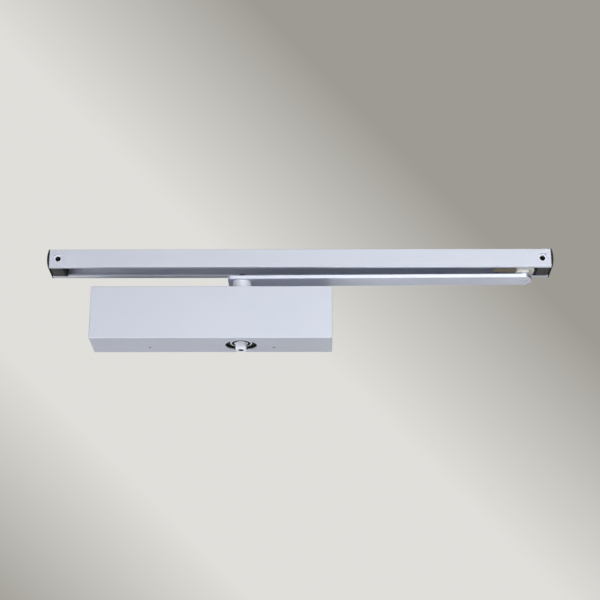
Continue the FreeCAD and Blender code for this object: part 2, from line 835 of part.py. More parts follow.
def slide_block():
    """A block that runs on the rail's lips, with a neck down in the slot."""
    flange_half = rail_depth / 2 - rail_wall - loose_clearance
    middle = (rail_front + rail_rear) / 2
    flange_y = (middle - flange_half, middle + flange_half)
    flange_z = (block_flange_bottom, block_flange_top)
    solid = plate(block_left, block_right, *flange_y, *flange_z, block_flange_radius)
    solid = round_top_and_bottom(solid, block_edge_radius)
    neck_half = slot_width / 2 - loose_clearance
    neck_y = (pin_y - neck_half, pin_y + neck_half)
    neck_z = (block_neck_bottom, block_flange_bottom + block_edge_radius)
    solid = solid.fuse(plate(block_left, block_right, *neck_y, *neck_z, block_neck_radius))
    solid = solid.fuse(block_foot()).removeSplitter()
    pin_hole = rod(pin_diameter / 2 + running_clearance, rail_height, Vector(pin_x, pin_y, foot_bottom), up)
    return solid.cut(pin_hole).cut(tail_tongue(seating_clearance))


def round_top_and_bottom(solid, radius):
    faces = [face for face in solid.Faces if abs(face.normalAt(0, 0).z) > 0.99]
    return solid.makeFillet(radius, [edge for face in faces for edge in face.Edges])


def block_foot():
    """A flared foot under the block, round the pin, that bears on the pin's collar."""
    half = foot_width / 2
    top = ((pin_x - foot_top_tail, block_neck_bottom), (pin_x + foot_top_lead, block_neck_bottom))
    low_left = (pin_x - foot_top_tail - foot_tail_flare, foot_bottom)
    low_right = (pin_x + foot_top_lead + foot_flare, foot_bottom)
    points = [Vector(x, pin_y - half, z) for x, z in (low_left, low_right, top[1], top[0])]
    solid = Part.Face(Part.makePolygon(points + points[:1])).extrude(Vector(0, foot_width, 0))
    slanted = [edge for edge in solid.Edges if abs(edge.tangentAt(0).z) > 0.5]
    return solid.makeFillet(foot_corner_radius, slanted)


def slide_tail():
    """A brass tail in two widths, let into the block by its tongue."""
    step_x = pin_x - tail_step_reach
    half = tail_width / 2
    step_half = tail_step_width / 2
    end_x = pin_x - tail_reach
    z0 = tail_bottom()
    z1 = z0 + tail_height
    thin = plate(end_x, block_left - seating_clearance, pin_y - half, pin_y + half, z0, z1, half / 2)
    step = plate(step_x, block_left - seating_clearance, pin_y - step_half, pin_y + step_half,
                 block_neck_bottom, z1 - tail_rise, tail_rise)
    return thin.fuse(step).fuse(tail_tongue(0)).removeSplitter()


def channel(x0, x1, clearance):
    """The space inside the rail, or a piece that fills it less a clearance."""
    inset = rail_wall + clearance
    z0 = rail_bottom + inset
    return box(x0, x1, rail_front + inset, rail_rear - inset, z0, rail_top - inset)


def slot(x0, x1, clearance):
    half = slot_width / 2 - clearance
    z1 = rail_bottom + rail_wall + rail_wall / 2
    return box(x0, x1, pin_y - half, pin_y + half, rail_bottom, z1)


def filling(x0, x1):
    """A piece that fills the rail's channel and its slot."""
    return channel(x0, x1, seating_clearance).fuse(slot(x0, x1, seating_clearance)).removeSplitter()


def rail_screw_places():
    return (rail_left + rail_screw_inset, rail_right - rail_screw_inset)


def rail_screw_hole(x, radius, y0, y1):
    return rod(radius, y1 - y0, Vector(x, y0, rail_screw_z), inward)


def rail():
    """A rail of C section, with a fixing hole near each end."""
    solid = box(rail_left, rail_right, rail_front, rail_rear, rail_bottom, rail_top)
    solid = fillet_along(solid, right, rail_edge_radius)
    solid = solid.cut(channel(rail_left, rail_right, 0)).cut(slot(rail_left, rail_right, 0))
    solid = fillet_along(solid, right, slot_edge_radius, on_slot_edge)
    middle = (rail_front + rail_rear) / 2
    for x in rail_screw_places():
        solid = solid.cut(rail_screw_hole(x, rail_sleeve_diameter / 2, rail_front, middle))
        solid = solid.cut(rail_screw_hole(x, rail_screw_diameter / 2, middle, rail_rear))
    return solid


def on_slot_edge(point):
    beside = abs(abs(point.y - pin_y) - slot_width / 2)
    return beside < seating_clearance and abs(point.z - rail_bottom) < seating_clearance


def rail_end(side):
    return rail_right if side > 0 else rail_left


def rail_cap(side):
    """A cap with a gently curved face over one end of the rail, with a short plug inside it."""
    end = rail_end(side)
    x0, x1 = sorted((end, end + side * rail_cap_thickness))
    solid = box(x0, x1, rail_front, rail_rear, rail_bottom, rail_top)
    rise = rail_cap_thickness - rail_cap_rim
    curve = ((rail_height / 2) ** 2 + rise ** 2) / (2 * rise)
    centre = Vector(end + side * (rail_cap_thickness - curve), rail_front, (rail_bottom + rail_top) / 2)
    solid = solid.common(rod(curve, rail_depth, centre, inward))
    rim_middle = rail_cap_rim / 2 + seating_clearance
    outer_edges = [edge for edge in solid.Edges if abs(edge.CenterOfMass.x - end) > rim_middle]
    solid = solid.makeFillet(rail_cap_edge_radius, outer_edges)
    plug_x = sorted((end, end - side * rail_cap_plug))
    return solid.fuse(channel(*plug_x, seating_clearance)).removeSplitter()


def fixing_block(side):
    """A block that fills the rail's end, with grooves in its foot and a hole for the screw's sleeve."""
    end = rail_end(side)
    near = end - side * (rail_cap_plug + seating_clearance)
    x0, x1 = sorted((near, near - side * fixing_block_length))
    solid = filling(x0, x1)
    first_y = pin_y - (foot_groove_count - 1) / 2 * foot_groove_spacing
    for count in range(foot_groove_count):
        y0 = first_y + count * foot_groove_spacing - foot_groove_width / 2
        y1 = y0 + foot_groove_width
        solid = solid.cut(box(x0, x1, y0, y1, rail_bottom, rail_bottom + foot_groove_depth))
    screw_x = end - side * rail_screw_inset
    sleeve_end = rail_front + rail_sleeve_recess + rail_sleeve_length
    solid = solid.cut(rail_screw_hole(screw_x, rail_sleeve_diameter / 2, rail_front, sleeve_end))
    return solid.cut(rail_screw_hole(screw_x, rail_screw_diameter / 2, rail_front, rail_rear))


def buffer(side):
    """A rubber pad on the inner end of a fixing block."""
    near = rail_end(side) - side * (rail_cap_plug + fixing_block_length + 2 * seating_clearance)
    return filling(*sorted((near, near - side * buffer_thickness)))


def fixing_sleeve(side):
    """A steel sleeve for the fixing screw, just behind the rail's front face."""
    x = rail_end(side) - side * rail_screw_inset
    front = rail_front + rail_sleeve_recess
    radius = rail_sleeve_diameter / 2 - seating_clearance
    solid = rail_screw_hole(x, radius, front, front + rail_sleeve_length)
    return solid.cut(rail_screw_hole(x, rail_screw_diameter / 2, rail_front, rail_rear))


def pieces():
    made = {
        "housing": housing(),
        "cover": cover(),
        "cover_screws": cover_screws(),
        "left_plug": left_plug(),
        "right_plug": right_plug(),
        "plug_o_rings": plug_o_rings(),
        "closing_spring": closing_spring(),
        "spring_adjuster": spring_adjuster(),
        "spring_seat": spring_seat(),
        "piston": piston(),
        "piston_seal": piston_seal(),
        "check_ball": check_ball(),
        "check_ball_stop": check_ball_stop(),
        "pinion_shaft": pinion_shaft(),
        "arm_hub": arm_hub(),
        "arm_bar": arm_bar(),
        "arm_screw": arm_screw(),
        "arm_washer": arm_washer(),
        "slide_pin": slide_pin(),
        "pin_clip": pin_clip(),
        "slide_block": slide_block(),
        "slide_tail": slide_tail(),
        "rail": rail(),
    }
    for name, z in valve_places().items():
        made[name] = valve(z)
    for name, axis in (("upper", up), ("lower", down)):
        made[name + "_bush"] = bush(axis)
        made[name + "_bearing_cap"] = bearing_cap(axis)
        made[name + "_shaft_seal"] = shaft_seal(axis)
    for name, side in (("left", -1), ("right", 1)):
        made[name + "_rail_cap"] = rail_cap(side)
        made[name + "_fixing_block"] = fixing_block(side)
        made[name + "_fixing_sleeve"] = fixing_sleeve(side)
        made[name + "_buffer"] = buffer(side)
    return made


os.makedirs("parts", exist_ok=True)
for name, shape in pieces().items():
    shape.exportStep("parts/" + name + ".step")
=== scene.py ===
import json
import math

import bmesh
import bpy
from mathutils import Euler, Matrix, Vector


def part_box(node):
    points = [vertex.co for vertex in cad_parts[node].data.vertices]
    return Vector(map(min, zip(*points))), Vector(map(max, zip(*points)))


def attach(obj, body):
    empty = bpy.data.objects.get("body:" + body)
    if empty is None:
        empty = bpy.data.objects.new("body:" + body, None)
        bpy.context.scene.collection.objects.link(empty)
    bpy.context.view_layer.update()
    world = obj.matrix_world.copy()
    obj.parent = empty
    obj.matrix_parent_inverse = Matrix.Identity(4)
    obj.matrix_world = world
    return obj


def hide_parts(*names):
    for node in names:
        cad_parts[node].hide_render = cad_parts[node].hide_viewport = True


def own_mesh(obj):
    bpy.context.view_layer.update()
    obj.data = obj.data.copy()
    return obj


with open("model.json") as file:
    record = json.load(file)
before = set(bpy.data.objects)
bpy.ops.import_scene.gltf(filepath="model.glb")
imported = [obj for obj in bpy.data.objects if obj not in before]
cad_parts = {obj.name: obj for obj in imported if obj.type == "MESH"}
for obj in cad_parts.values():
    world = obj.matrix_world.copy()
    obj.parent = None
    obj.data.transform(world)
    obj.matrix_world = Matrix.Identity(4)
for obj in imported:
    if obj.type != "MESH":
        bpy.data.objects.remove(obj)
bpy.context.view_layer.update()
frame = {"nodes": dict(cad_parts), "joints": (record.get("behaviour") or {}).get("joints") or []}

nodes = frame["nodes"]
scene = bpy.context.scene
scene.view_settings.view_transform = "Standard"
print("frame loaded,", len(nodes), "solids")


# small helpers for shader trees
def addNode(tree, kind, inputs=None, **settings):
    node = tree.nodes.new(kind)
    for name, value in settings.items():
        setattr(node, name, value)
    for name, value in (inputs or {}).items():
        if isinstance(value, bpy.types.NodeSocket):
            tree.links.new(value, node.inputs[name])
        else:
            node.inputs[name].default_value = value
    return node


def compute(tree, operation, *values):
    return addNode(tree, "ShaderNodeMath", dict(enumerate(values)), operation=operation).outputs[0]


mixSockets = {"first": 6, "second": 7, "result": 2}  # the colour sockets of a Mix node


def mixColours(tree, factor, first, second):
    ends = [end if isinstance(end, bpy.types.NodeSocket) else (*end, 1) for end in (first, second)]
    mix = addNode(tree, "ShaderNodeMix", {
        "Factor": factor, mixSockets["first"]: ends[0], mixSockets["second"]: ends[1]}, data_type="RGBA")
    return mix.outputs[mixSockets["result"]]


def placeGroup(tree, group, inputs):
    return addNode(tree, "ShaderNodeGroup", inputs, node_tree=group).outputs


def newGroup(name, inputs, outputs):
    group = bpy.data.node_groups.new(name, "ShaderNodeTree")
    for label, kind, value in inputs:
        socket = group.interface.new_socket(label, in_out="INPUT", socket_type=kind)
        if value is not None:
            socket.default_value = value
    for label in outputs:
        group.interface.new_socket(label, in_out="OUTPUT", socket_type="NodeSocketFloat")
    return group, group.nodes.new("NodeGroupInput").outputs, group.nodes.new("NodeGroupOutput").inputs


vectorInput = ("Vector", "NodeSocketVector", None)
noiseSpan = {"From Min": 0.3, "From Max": 0.7}  # most of a noise texture's values
castLevel = 0.6  # keeps the sum of pebbles and noise near 0 to 1


def fineGrainGroup():
    # close, even speckle of a blasted, moulded or anodised skin
    group, given, out = newGroup("fineGrain", [vectorInput, ("Scale", "NodeSocketFloat", 2000.0)], ["Grain"])
    speckle = addNode(group, "ShaderNodeTexNoise", {
        "Vector": given["Vector"], "Scale": given["Scale"], "Detail": 2.0, "Roughness": 0.6})
    spread = addNode(group, "ShaderNodeMapRange", {"Value": speckle.outputs["Fac"], **noiseSpan})
    group.links.new(spread.outputs["Result"], out["Grain"])
    return group


def drawnLinesGroup():
    # hairlines along the local X, as drawing or brushing leaves
    group, given, out = newGroup("drawnLines", [
        vectorInput, ("Fineness", "NodeSocketFloat", 3000.0), ("Length", "NodeSocketFloat", 80.0)], ["Lines"])
    shorten = compute(group, "DIVIDE", 1.0, given["Length"])
    squeeze = addNode(group, "ShaderNodeCombineXYZ", {"X": shorten, "Y": 1.0, "Z": 1.0})
    drawn = addNode(group, "ShaderNodeVectorMath", {
        0: given["Vector"], 1: squeeze.outputs["Vector"]}, operation="MULTIPLY")
    hair = addNode(group, "ShaderNodeTexNoise", {
        "Vector": drawn.outputs["Vector"], "Scale": given["Fineness"], "Detail": 3.0, "Roughness": 0.65})
    spread = addNode(group, "ShaderNodeMapRange", {"Value": hair.outputs["Fac"], **noiseSpan})
    group.links.new(spread.outputs["Result"], out["Lines"])
    return group


def turnedRingsGroup():
    # fine rings round the local Z, as a lathe tool leaves
    group, given, out = newGroup("turnedRings", [
        vectorInput, ("Pitch", "NodeSocketFloat", 0.0003)], ["Rings"])
    split = addNode(group, "ShaderNodeSeparateXYZ", {"Vector": given["Vector"]})
    flat = addNode(group, "ShaderNodeCombineXYZ", {"X": split.outputs["X"], "Y": split.outputs["Y"]})
    radius = addNode(group, "ShaderNodeVectorMath", {0: flat.outputs["Vector"]}, operation="LENGTH")
    travel = compute(group, "ADD", radius.outputs["Value"], split.outputs["Z"])
    turns = compute(group, "DIVIDE", travel, given["Pitch"])
    uneven = addNode(
        group, "ShaderNodeTexNoise", {"W": turns, "Scale": 1.0, "Detail": 2.0}, noise_dimensions="1D")
    group.links.new(uneven.outputs["Fac"], out["Rings"])
    return group


def softMarksGroup():
    # broad, faint changes of tone from handling and uneven finishing
    group, given, out = newGroup("softMarks", [vectorInput, ("Scale", "NodeSocketFloat", 20.0)], ["Marks"])
    cloud = addNode(group, "ShaderNodeTexNoise", {
        "Vector": given["Vector"], "Scale": given["Scale"], "Detail": 4.0, "Roughness": 0.55,
        "Distortion": 0.4})
    spread = addNode(group, "ShaderNodeMapRange", {"Value": cloud.outputs["Fac"], **noiseSpan})
    group.links.new(spread.outputs["Result"], out["Marks"])
    return group


def castSkinGroup():
    # pebbled skin of a die casting under paint
    group, given, out = newGroup("castSkin", [vectorInput, ("Scale", "NodeSocketFloat", 900.0)], ["Skin"])
    pebble = addNode(group, "ShaderNodeTexVoronoi", {
        "Vector": given["Vector"], "Scale": given["Scale"], "Smoothness": 0.6}, feature="SMOOTH_F1")
    rough = addNode(group, "ShaderNodeTexNoise", {
        "Vector": given["Vector"], "Scale": given["Scale"], "Detail": 3.0})
    both = compute(group, "ADD", pebble.outputs["Distance"], rough.outputs["Fac"])
    group.links.new(compute(group, "MULTIPLY", both, castLevel), out["Skin"])
    return group


patternGroups = {
    "grain": (fineGrainGroup(), "Grain", "Scale"),
    "lines": (drawnLinesGroup(), "Lines", "Fineness"),
    "rings": (turnedRingsGroup(), "Rings", "Pitch"),
    "cast": (castSkinGroup(), "Skin", "Scale"),
}
softMarks = softMarksGroup()
print("pattern groups ready")


# finishes: colour pair of the faint marks, roughness pair and bump of the close pattern
silverColours = ((0.59, 0.62, 0.715), (0.63, 0.66, 0.755))
satinSilver = {
    "colours": silverColours, "marks": 9.0, "metallic": 0.4,
    "roughness": (0.46, 0.56), "pattern": "grain", "size": 2600.0, "bump": 0.04}
drawnSilver = {
    "colours": silverColours, "marks": 9.0, "metallic": 0.4,
    "roughness": (0.45, 0.55), "pattern": "lines", "size": 2400.0, "bump": 0.04}
blackCast = {
    "colours": ((0.014, 0.014, 0.015), (0.028, 0.028, 0.030)), "marks": 40.0, "metallic": 0.0,
    "roughness": (0.42, 0.60), "pattern": "cast", "size": 900.0, "bump": 0.25, "specular": 0.25}
brightArm = {
    "colours": ((0.71, 0.75, 0.885), (0.76, 0.80, 0.93)), "marks": 12.0, "metallic": 0.44,
    "roughness": (0.35, 0.46), "pattern": "lines", "size": 3200.0, "bump": 0.03}
armPin = {
    "colours": ((0.69, 0.73, 0.86), (0.75, 0.79, 0.92)), "marks": 60.0, "metallic": 0.44,
    "roughness": (0.35, 0.46), "pattern": "rings", "size": 0.0003, "bump": 0.05}
paleTurned = {
    "colours": ((0.84, 0.865, 0.965), (0.89, 0.91, 0.99)), "marks": 40.0, "metallic": 0.1,
    "roughness": (0.34, 0.48), "pattern": "rings", "size": 0.0003, "bump": 0.06}
brightTurned = {
    "colours": ((0.72, 0.73, 0.76), (0.79, 0.80, 0.83)), "marks": 30.0, "metallic": 0.5,
    "roughness": (0.30, 0.44), "pattern": "rings", "size": 0.0003, "bump": 0.08}
darkSteel = {
    "colours": ((0.050, 0.050, 0.055), (0.090, 0.090, 0.096)), "marks": 60.0, "metallic": 0.8,
    "roughness": (0.30, 0.45), "pattern": "rings", "size": 0.0004, "bump": 0.08}
blackOxide = {
    "colours": ((0.010, 0.010, 0.011), (0.020, 0.020, 0.022)), "marks": 120.0, "metallic": 0.2,
    "roughness": (0.42, 0.58), "pattern": "rings", "size": 0.0004, "bump": 0.08, "specular": 0.3}
springWire = {
    "colours": ((0.11, 0.11, 0.12), (0.19, 0.185, 0.18)), "marks": 80.0, "metallic": 0.9,
    "roughness": (0.28, 0.42), "pattern": "grain", "size": 1500.0, "bump": 0.06}
bronzeBush = {
    "colours": ((0.42, 0.26, 0.12), (0.55, 0.36, 0.18)), "marks": 120.0, "metallic": 0.9,
    "roughness": (0.32, 0.48), "pattern": "grain", "size": 1800.0, "bump": 0.10}
brassTail = {
    "colours": ((0.58, 0.50, 0.34), (0.68, 0.60, 0.43)), "marks": 90.0, "metallic": 0.6,
    "roughness": (0.28, 0.42), "pattern": "lines", "size": 2600.0, "bump": 0.06}
brassTurned = {
    "colours": ((0.56, 0.42, 0.19), (0.66, 0.52, 0.26)), "marks": 90.0, "metallic": 0.9,
    "roughness": (0.28, 0.42), "pattern": "rings", "size": 0.0003, "bump": 0.06}
whiteMoulding = {
    "colours": ((0.74, 0.73, 0.69), (0.82, 0.815, 0.78)), "marks": 70.0, "metallic": 0.0,
    "roughness": (0.34, 0.46), "pattern": "grain", "size": 1400.0, "bump": 0.05}
blackMoulding = {
    "colours": ((0.008, 0.008, 0.009), (0.015, 0.015, 0.016)), "marks": 60.0, "metallic": 0.0,
    "roughness": (0.36, 0.52), "pattern": "grain", "size": 1600.0, "bump": 0.12, "specular": 0.25}
greyMoulding = {
    "colours": ((0.048, 0.049, 0.053), (0.072, 0.074, 0.079)), "marks": 70.0, "metallic": 0.0,
    "roughness": (0.40, 0.55), "pattern": "grain", "size": 1600.0, "bump": 0.12, "specular": 0.3}
blackRubber = {
    "colours": ((0.010, 0.010, 0.010), (0.018, 0.017, 0.017)), "marks": 90.0, "metallic": 0.0,
    "roughness": (0.55, 0.72), "pattern": "grain", "size": 2200.0, "bump": 0.10, "specular": 0.2}

# what all finishes share: roughness that the marks add, height of the bumps, usual sheen
everyFinish = {"smudge": 0.06, "depth": 0.0001, "specular": 0.5}
unturned = (0.0, 0.0, 0.0)
axisTurns = {None: unturned, "x": (0.0, math.pi / 2, 0.0), "y": (-math.pi / 2, 0.0, 0.0), "z": unturned}


def makeMaterial(name, finish, centre, axis):
    material = bpy.data.materials.new(name)
    material.use_nodes = True
    tree = material.node_tree
    shader = tree.nodes["Principled BSDF"]
    place = addNode(tree, "ShaderNodeTexCoord")
    centred = addNode(tree, "ShaderNodeMapping", {
        "Vector": place.outputs["Object"], "Location": centre, "Rotation": axisTurns[axis]},
        vector_type="TEXTURE")
    spot = centred.outputs["Vector"]
    group, result, sizeName = patternGroups[finish["pattern"]]
    marks = placeGroup(tree, softMarks, {"Vector": spot, "Scale": finish["marks"]})["Marks"]
    pattern = placeGroup(tree, group, {"Vector": spot, sizeName: finish["size"]})[result]
    tree.links.new(mixColours(tree, marks, *finish["colours"]), shader.inputs["Base Color"])
    smooth, coarse = finish["roughness"]
    gloss = addNode(tree, "ShaderNodeMapRange", {"Value": pattern, "To Min": smooth, "To Max": coarse})
    smudged = compute(tree, "MULTIPLY_ADD", marks, everyFinish["smudge"], gloss.outputs["Result"])
    tree.links.new(smudged, shader.inputs["Roughness"])
    relief = addNode(tree, "ShaderNodeBump", {
        "Height": pattern, "Strength": finish["bump"], "Distance": everyFinish["depth"]})
    tree.links.new(relief.outputs["Normal"], shader.inputs["Normal"])
    shader.inputs["Metallic"].default_value = finish["metallic"]
    shader.inputs["Specular IOR Level"].default_value = finish.get("specular", everyFinish["specular"])
    return material


# which finish each solid has, and the axis its turning marks run round
solidFinishes = {
    "cover": (satinSilver, None),
    "cover_screws": (blackOxide, "z"),
    "housing": (blackCast, None),
    "upper_bush": (bronzeBush, "z"),
    "lower_bush": (bronzeBush, "z"),
    "upper_bearing_cap": (paleTurned, "z"),
    "lower_bearing_cap": (paleTurned, "z"),
    "upper_shaft_seal": (blackRubber, "z"),
    "lower_shaft_seal": (blackRubber, "z"),
    "left_plug": (brightTurned, "x"),
    "right_plug": (brightTurned, "x"),
    "plug_o_rings": (blackRubber, "x"),
    "closing_spring": (springWire, None),
    "spring_adjuster": (darkSteel, "x"),
    "spring_seat": (darkSteel, "x"),
    "piston": (brightTurned, "x"),
    "piston_seal": (blackRubber, "x"),
    "check_ball": (brightTurned, "x"),
    "check_ball_stop": (brightTurned, "x"),
    "sweep_valve": (brassTurned, "x"),
    "latch_valve": (brassTurned, "x"),
    "pinion_shaft": (paleTurned, "z"),
    "arm_hub": (paleTurned, "z"),
    "arm_bar": (brightArm, None),
    "arm_screw": (darkSteel, "z"),
    "arm_washer": (brightTurned, "z"),
    "slide_pin": (armPin, "z"),
    "pin_clip": (springWire, None),
    "slide_block": (whiteMoulding, None),
    "slide_tail": (brassTail, None),
    "rail": (drawnSilver, None),
    "left_rail_cap": (blackMoulding, None),
    "right_rail_cap": (blackMoulding, None),
    "left_fixing_block": (greyMoulding, None),
    "right_fixing_block": (greyMoulding, None),
    "left_fixing_sleeve": (paleTurned, "y"),
    "right_fixing_sleeve": (paleTurned, "y"),
    # black rubber buffers; their black also paints the shade on the fixing blocks' inner ends
    "left_buffer": (blackRubber, None),
    "right_buffer": (blackRubber, None),
}


def boxMiddle(node):
    low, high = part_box(node)
    return (low + high) / 2


def dressSolids():
    for name, (finish, axis) in solidFinishes.items():
        material = makeMaterial(name + "_finish", finish, boxMiddle(name), axis)
        mesh = nodes[name].data
        for slot in range(len(mesh.materials)):
            mesh.materials[slot] = material
        if not mesh.materials:
            mesh.materials.append(material)


# painted shade round the arm's far end, short of its top and bottom faces: a darker grey with a grain
armEndShade = {
    "reach": 0.0062, "skin": 0.0003, "grain": 900.0,
    "colours": ((0.24, 0.24, 0.26), (0.42, 0.42, 0.45))}


def paintArmEndShade():
    low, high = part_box("arm_bar")
    tree = nodes["arm_bar"].data.materials[0].node_tree
    baseColour = tree.nodes["Principled BSDF"].inputs["Base Color"]
    bright = baseColour.links[0].from_socket
    spot = addNode(tree, "ShaderNodeTexCoord").outputs["Object"]
    split = addNode(tree, "ShaderNodeSeparateXYZ", {"Vector": spot}).outputs
    past = compute(tree, "GREATER_THAN", split["X"], high.x - armEndShade["reach"])
    above = compute(tree, "GREATER_THAN", split["Z"], low.z + armEndShade["skin"])
    below = compute(tree, "LESS_THAN", split["Z"], high.z - armEndShade["skin"])
    mask = compute(tree, "MULTIPLY", past, compute(tree, "MULTIPLY", above, below))
    group, result, sizeName = patternGroups["grain"]
    grain = placeGroup(tree, group, {"Vector": spot, sizeName: armEndShade["grain"]})[result]
    paintedShade = mixColours(tree, grain, *armEndShade["colours"])
    # paints the shade onto the arm's colour round its far end
    tree.links.new(mixColours(tree, mask, bright, paintedShade), baseColour)


dressSolids()
# painted shade on the arm's far end
paintArmEndShade()
print("solids dressed")


weldDistance = 1e-6  # points nearer than this are one


def linkPiece(name, bm, body, finish, centre):
    bmesh.ops.recalc_face_normals(bm, faces=bm.faces)
    mesh = bpy.data.meshes.new(name)
    bm.to_mesh(mesh)
    bm.free()
    piece = bpy.data.objects.new(name, mesh)
    scene.collection.objects.link(piece)
    mesh.materials.append(makeMaterial(name + "_finish", finish, centre, "z"))
    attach(piece, body)
    return piece


def joinLine(bm, points, closed=False):
    line = [bm.verts.new(point) for point in points]
    pairs = list(zip(line, line[1:])) + ([(line[-1], line[0])] if closed else [])
    return line + [bm.edges.new(pair) for pair in pairs]


def openEdges(bm):
    return [edge for edge in bm.edges if edge.is_boundary]


def looseEdges(bm):
    return [edge for edge in bm.edges if edge.is_wire]


fullTurn = 2 * math.pi
upward = (0, 0, 1)

# blackened insert with its thread, in the spindle's lower hole; its black also paints the shade deep in the
# hole
threadInsert = {
    "flange": 0.00276, "outer": 0.00246, "inner": 0.00225, "crest": 0.0019, "lead": 0.0003, "sunk": 0.00002,
    "length": 0.012, "pitch": 0.001, "ridge": 0.0009, "steps": 32}


def makeThreadInsert():
    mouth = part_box("pinion_shaft")[0].z
    middle = boxMiddle("lower_bush")
    lead, top, sunk = threadInsert["lead"], threadInsert["length"], threadInsert["sunk"]
    inner, outer, steps = threadInsert["inner"], threadInsert["outer"], threadInsert["steps"]
    outline = [
        (threadInsert["flange"], sunk), (outer, lead), (outer, top),
        (inner, top), (inner, lead), (inner + lead, sunk)]
    points = [(middle.x + radius, middle.y, mouth + rise) for radius, rise in outline]
    bm = bmesh.new()
    tube = joinLine(bm, points, closed=True)
    bmesh.ops.spin(bm, geom=tube, cent=middle, axis=upward, angle=fullTurn, steps=steps, use_merge=True)
    turns = int((top - lead) / threadInsert["pitch"]) - 1  # one short, so that the ridge ends inside
    half = threadInsert["ridge"] / 2
    start = mouth + lead + half
    corners = ((inner, -half), (threadInsert["crest"], 0.0), (inner, half))
    ridge = [bm.verts.new((middle.x + radius, middle.y, start + rise)) for radius, rise in corners]
    first = bm.faces.new(ridge)
    bmesh.ops.spin(
        bm, geom=ridge + first.edges[:] + [first], cent=middle, axis=upward, angle=fullTurn * turns,
        steps=steps * turns, dvec=(0, 0, threadInsert["pitch"] / steps))
    linkPiece("thread_insert", bm, "arm", blackOxide, middle)


# round-headed arm screw with a six-sided socket
armScrew = {
    "steps": 48, "socket": 0.004, "socketSides": 6, "socketDepth": 0.002, "lead": 0.0003, "rim": 0.0006,
    "edge": 0.0003, "shank": 0.003, "core": 0.0024, "relief": 0.0004, "crownPoints": (0.25, 0.5, 0.75)}


def makeArmScrew():
    low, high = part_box("arm_screw")
    middle = (low + high) / 2
    head = (high.x - low.x) / 2
    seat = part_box("arm_washer")[1].z
    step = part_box("pinion_shaft")[1].z + armScrew["relief"]
    steps, sides, lead = armScrew["steps"], armScrew["socketSides"], armScrew["lead"]
    rim, edge, shank, core = (armScrew[part] for part in ("rim", "edge", "shank", "core"))
    corner = armScrew["socket"] / 2 / math.cos(math.pi / sides)
    mouth = corner + lead
    crown = high.z - seat - rim
    outline = [(mouth, high.z)]
    for share in armScrew["crownPoints"]:
        outline.append((mouth + (head - mouth) * share, high.z - crown * share ** 2))
    outline += [(head, seat + rim), (head, seat + edge), (head - edge, seat)]
    outline += [(shank, seat), (shank, step), (core, step), (core, low.z), (0.0, low.z)]
    bm = bmesh.new()
    half = joinLine(bm, [(middle.x + radius, middle.y, height) for radius, height in outline])
    bmesh.ops.spin(bm, geom=half, cent=middle, axis=upward, angle=fullTurn, steps=steps, use_merge=True)
    bmesh.ops.remove_doubles(bm, verts=bm.verts, dist=weldDistance)
    lip = openEdges(bm)
    bmesh.ops.create_circle(
        bm, segments=sides, radius=corner, matrix=Matrix.Translation((middle.x, middle.y, high.z - lead)))
    bmesh.ops.subdivide_edges(bm, edges=looseEdges(bm), cuts=steps // sides - 1)
    flats = looseEdges(bm)
    bmesh.ops.bridge_loops(bm, edges=lip + flats)
    walls = bmesh.ops.extrude_edge_only(bm, edges=flats)["geom"]
    sunk = [item for item in walls if isinstance(item, bmesh.types.BMVert)]
    bmesh.ops.translate(bm, verts=sunk, vec=(0, 0, -armScrew["socketDepth"]))
    bmesh.ops.contextual_create(bm, geom=openEdges(bm))
    piece = linkPiece("round_head_screw", bm, "arm", darkSteel, middle)
    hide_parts("arm_screw")


# closing spring in two runs: the adjuster's seat squeezes the left one, the piston the right one
springRuns = {
    "spring_seat_run": {"turned": "adjuster_turn", "pushed": "seat_travel", "left": True},
    "spring_piston_run": {"turned": "spindle_turn", "pushed": "piston_travel", "left": False}}


def fullTravel(name):
    joint = next(item for item in frame["joints"] if item["name"] == name)
    return max(abs(end) for end in joint["range_m"])


def makeSpringRuns():
    low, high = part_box("closing_spring")
    travels = {name: fullTravel(run["pushed"]) for name, run in springRuns.items()}
    keep = 1 - sum(travels.values()) / (high.x - low.x)  # both runs close up alike
    meeting = (low + high) / 2
    meeting.x = low.x + travels["spring_seat_run"] / (1 - keep)
    for name, run in springRuns.items():
        bm = bmesh.new()
        bm.from_mesh(nodes["closing_spring"].data)
        bmesh.ops.remove_doubles(bm, verts=bm.verts, dist=weldDistance)
        bmesh.ops.bisect_plane(
            bm, geom=bm.verts[:] + bm.edges[:] + bm.faces[:], plane_co=meeting, plane_no=(1, 0, 0),
            clear_outer=run["left"], clear_inner=not run["left"])
        bmesh.ops.remove_doubles(bm, verts=bm.verts, dist=weldDistance)
        bmesh.ops.triangle_fill(bm, use_beauty=True, edges=openEdges(bm))
        piece = linkPiece(name, bm, "closer", springWire, meeting)
        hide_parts("closing_spring")
        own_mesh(piece)


makeThreadInsert()
makeArmScrew()
makeSpringRuns()
print("thread insert, arm screw and spring made")


# studio: a pale floor well below, a backdrop behind and five softboxes
floor = {
    "height": -1.5, "size": 40.0, "colour": (0.70, 0.692, 0.664), "roughness": 0.9,
    "glow": 0.76, "mirrored": 0.05}
air = {
    "light": (0.745, 0.737, 0.705), "dark": (0.342, 0.328, 0.296), "ambient": 0.07,
    "room": (0.2, 0.45), "roomTurn": (0.1, 0.7),  # its strength in reflections, in front and behind
    "across": (1.0, -0.347, 0.938), "upperRight": (-0.035, 0.147), "lowerLeft": (-0.23, -0.40),
    "middle": (0.0, 0.938, 0.347), "corners": (0.82, 0.95)}
lampAim = (0.08, 0.0, 0.03)
lamps = {
    "frontBox": {"place": (0.7, -2.2, 0.2), "size": (2.2, 1.2), "power": 36.5},
    "leftBox": {"place": (-1.4, -1.4, -0.9), "size": (1.8, 0.9), "power": 17.5},
    "lowBox": {"place": (0.1, -0.1, -1.4), "size": (2.0, 1.2), "power": 12.4},
    "topBox": {"place": (0.1, 0.2, 2.0), "size": (2.0, 1.2), "power": 8.0},
    "backBox": {"place": (-0.3, 2.4, 0.9), "size": (3.6, 2.6), "power": 22.0}}


